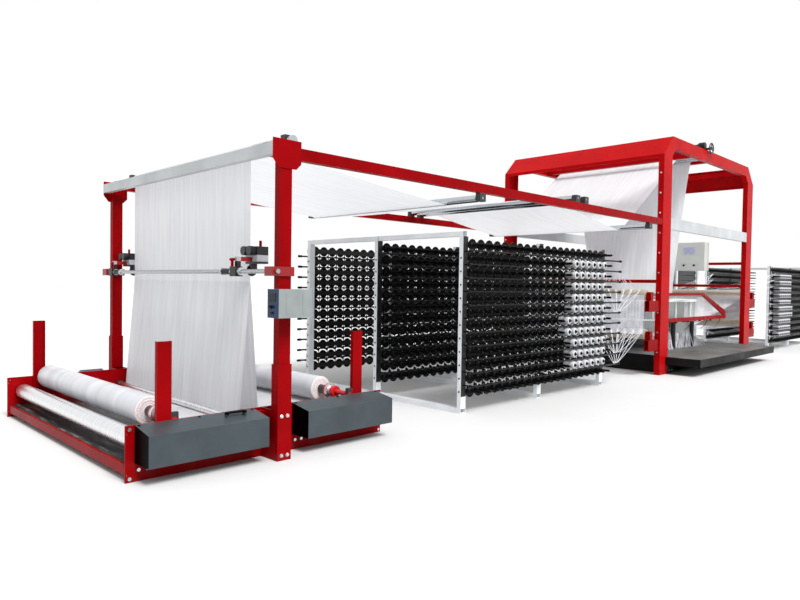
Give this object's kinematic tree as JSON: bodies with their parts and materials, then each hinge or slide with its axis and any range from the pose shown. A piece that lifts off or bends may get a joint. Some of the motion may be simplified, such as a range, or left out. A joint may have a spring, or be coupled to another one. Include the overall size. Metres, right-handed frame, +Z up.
{
  "type": "circular power loom line",
  "caption": "Circular power loom under a gantry, with a tape creel each side, overhead cloth rails and a double cloth winder.",
  "frame": {"origin": "on the floor, under the middle of the line's box", "axes": "+X along the line from the winder to the second creel, -Y the operator side, +Z up"},
  "size_m": [19.283, 4.603, 4.388],
  "materials": {
    "red_paint": "semi-gloss enamel on folded and welded steel",
    "black_paint": "satin black enamel",
    "steel": "turned and ground",
    "grey_white_paint": "satin grey-white enamel",
    "worn_steel": "dark worn sheet",
    "cast_black": "black painted cast housings",
    "slate_paint": "satin slate grey enamel",
    "motor_paint": "blue-grey enamel on castings",
    "drum_steel": "ground drum shell",
    "cloth": "flat woven polypropylene tape cloth",
    "chrome": "hard chromed",
    "black_plastic": "moulded black plastic",
    "light_grey_paint": "powder coat",
    "blue_paint": "powder coat",
    "zinc": "zinc plated fasteners",
    "rubber": "rubber covered roller",
    "white_paint": "white enamel ring plates",
    "reed_grey": "reed wires in rings",
    "tape": "flat warp tapes lying side by side",
    "tape_white": "wound flat polypropylene tape"
  },
  "bodies": {
    "root": {"bearing_housings": "cast_black", "cabinet_case": "light_grey_paint", "cloth_at_winder": "cloth", "cloth_tube": "cloth", "control_case": "light_grey_paint", "control_panel": "blue_paint", "creel_1_spindles": "black_plastic", "creel_2_spindles": "black_plastic", "creel_frames": "light_grey_paint", "drip_trays": "worn_steel", "fasteners": "zinc", "gantry_frame": "red_paint", "gantry_roof": "red_paint", "gear_covers": "slate_paint", "guard_posts": "red_paint", "guards": "red_paint", "guide_bars": "black_paint", "infeed_brackets": "red_paint", "loom_bed": "black_paint", "loom_column": "motor_paint", "loom_tracks": "white_paint", "masts": "red_paint", "nip_frames": "red_paint", "overhead_cloth": "cloth", "overhead_rails": "red_paint", "reed_ring": "reed_grey", "slitter_rod": "steel", "tape_bobbins": "tape_white", "tape_curtains": "tape", "white_beams": "grey_white_paint", "winder_drives": "motor_paint", "winder_frame": "red_paint"},
    "front_drum": {"front_drum": "drum_steel"},
    "rear_drum": {"rear_drum": "drum_steel"},
    "front_roll": {"front_cloth_roll": "cloth", "front_roll_shaft": "chrome"},
    "rear_roll": {"rear_cloth_roll": "cloth", "rear_roll_shaft": "chrome"},
    "front_guide": {"front_guide_roller": "chrome"},
    "rear_guide": {"rear_guide_roller": "chrome"},
    "top_roller": {"top_roller": "chrome"},
    "near_slitter": {"near_slitter": "black_plastic"},
    "far_slitter": {"far_slitter": "black_plastic"},
    "control_door": {"control_door": "light_grey_paint"},
    "control_dial": {"control_dial": "black_plastic"},
    "idler_a": {"idler_a": "chrome"},
    "idler_b1": {"idler_b1": "chrome"},
    "idler_b2": {"idler_b2": "chrome"},
    "idler_c": {"idler_c": "chrome"},
    "lower_nip": {"lower_nip_roller": "rubber"},
    "upper_nip": {"upper_nip_roller": "drum_steel"},
    "cabinet_door": {"cabinet_door": "light_grey_paint"},
    "cabinet_knob_1": {"cabinet_knob_1": "black_plastic"},
    "cabinet_knob_2": {"cabinet_knob_2": "black_plastic"},
    "tape_roller_1_upper": {"tape_roller_1_upper": "tape"},
    "tape_roller_1_lower": {"tape_roller_1_lower": "tape"},
    "tape_roller_2_upper": {"tape_roller_2_upper": "tape"},
    "tape_roller_2_lower": {"tape_roller_2_lower": "tape"},
    "rotor": {"shuttle_rotor": "steel", "shuttles": "black_plastic"}
  },
  "joints": [
    {"name": "front_drum_spin", "type": "hinge", "parent": "root", "child": "front_drum", "pos_m": [-9.4915, 0, 0.28], "axis": [0, 1, 0], "continuous": true},
    {"name": "rear_drum_spin", "type": "hinge", "parent": "root", "child": "rear_drum", "pos_m": [-7.1615, 0, 0.28], "axis": [0, 1, 0], "continuous": true},
    {"name": "front_roll_spin", "type": "hinge", "parent": "root", "child": "front_roll", "pos_m": [-9.2415, 0, 0.43], "axis": [0, 1, 0], "continuous": true},
    {"name": "rear_roll_spin", "type": "hinge", "parent": "root", "child": "rear_roll", "pos_m": [-7.4115, 0, 0.43], "axis": [0, 1, 0], "continuous": true},
    {"name": "front_guide_spin", "type": "hinge", "parent": "root", "child": "front_guide", "pos_m": [-8.4168, 0, 0.25], "axis": [0, 1, 0], "continuous": true},
    {"name": "rear_guide_spin", "type": "hinge", "parent": "root", "child": "rear_guide", "pos_m": [-8.1348, 0, 0.25], "axis": [0, 1, 0], "continuous": true},
    {"name": "top_roller_spin", "type": "hinge", "parent": "root", "child": "top_roller", "pos_m": [-8.2285, 0, 2.797], "axis": [0, 1, 0], "continuous": true},
    {"name": "idler_a_spin", "type": "hinge", "parent": "root", "child": "idler_a", "pos_m": [-5.4415, 0, 2.578], "axis": [0, 1, 0], "continuous": true},
    {"name": "idler_b1_spin", "type": "hinge", "parent": "root", "child": "idler_b1", "pos_m": [-3.2415, 0, 2.807], "axis": [0, 1, 0], "continuous": true},
    {"name": "idler_b2_spin", "type": "hinge", "parent": "root", "child": "idler_b2", "pos_m": [-3.0015, 0, 2.807], "axis": [0, 1, 0], "continuous": true},
    {"name": "idler_c_spin", "type": "hinge", "parent": "root", "child": "idler_c", "pos_m": [-0.8415, 0, 2.578], "axis": [0, 1, 0], "continuous": true},
    {"name": "lower_nip_spin", "type": "hinge", "parent": "root", "child": "lower_nip", "pos_m": [1.66, 0, 4.13], "axis": [0, 1, 0], "continuous": true},
    {"name": "upper_nip_spin", "type": "hinge", "parent": "root", "child": "upper_nip", "pos_m": [1.66, 0, 4.275], "axis": [0, 1, 0], "continuous": true},
    {"name": "near_slitter_slide", "type": "slide", "parent": "root", "child": "near_slitter", "axis": [0, 1, 0], "range_m": [-0.25, 0]},
    {"name": "far_slitter_slide", "type": "slide", "parent": "root", "child": "far_slitter", "axis": [0, 1, 0], "range_m": [0, 0.03]},
    {"name": "control_door_hinge", "type": "hinge", "parent": "root", "child": "control_door", "pos_m": [-8.2055, -2.0125, 1.3585], "axis": [0, 0, 1], "range_deg": [0, 110]},
    {"name": "control_dial_turn", "type": "hinge", "parent": "root", "child": "control_dial", "pos_m": [-8.5495, -1.9245, 1.33], "axis": [1, 0, 0], "range_deg": [-135, 135]},
    {"name": "cabinet_door_hinge", "type": "hinge", "parent": "root", "child": "cabinet_door", "pos_m": [3.8675, -0.124, 2.275], "axis": [0, 0, 1], "range_deg": [-110, 0]},
    {"name": "cabinet_knob_1_turn", "type": "hinge", "parent": "cabinet_door", "child": "cabinet_knob_1", "pos_m": [3.8575, -0.63, 2.07], "axis": [1, 0, 0], "range_deg": [-45, 45]},
    {"name": "cabinet_knob_2_turn", "type": "hinge", "parent": "cabinet_door", "child": "cabinet_knob_2", "pos_m": [3.8575, -0.4, 2.07], "axis": [1, 0, 0], "range_deg": [-45, 45]},
    {"name": "tape_roller_1_upper_spin", "type": "hinge", "parent": "root", "child": "tape_roller_1_upper", "pos_m": [-0.6885, 0, 1.41], "axis": [0, 1, 0], "continuous": true},
    {"name": "tape_roller_1_lower_spin", "type": "hinge", "parent": "root", "child": "tape_roller_1_lower", "pos_m": [-0.6885, 0, 0.73], "axis": [0, 1, 0], "continuous": true},
    {"name": "tape_roller_2_upper_spin", "type": "hinge", "parent": "root", "child": "tape_roller_2_upper", "pos_m": [4.6685, 0, 1.41], "axis": [0, 1, 0], "continuous": true},
    {"name": "tape_roller_2_lower_spin", "type": "hinge", "parent": "root", "child": "tape_roller_2_lower", "pos_m": [4.6685, 0, 0.73], "axis": [0, 1, 0], "continuous": true},
    {"name": "shuttle_rotor_spin", "type": "hinge", "parent": "root", "child": "rotor", "pos_m": [1.99, 0, 1], "axis": [0, 0, 1], "continuous": true}
  ],
  "couplings": [
    {"joint": "front_roll_spin", "follows": "front_drum_spin", "ratio": 0.59615},
    {"joint": "rear_roll_spin", "follows": "rear_drum_spin", "ratio": 0.59615},
    {"joint": "upper_nip_spin", "follows": "lower_nip_spin", "ratio": -1},
    {"joint": "tape_roller_1_lower_spin", "follows": "tape_roller_1_upper_spin", "ratio": 1},
    {"joint": "tape_roller_2_lower_spin", "follows": "tape_roller_2_upper_spin", "ratio": 1}
  ]
}
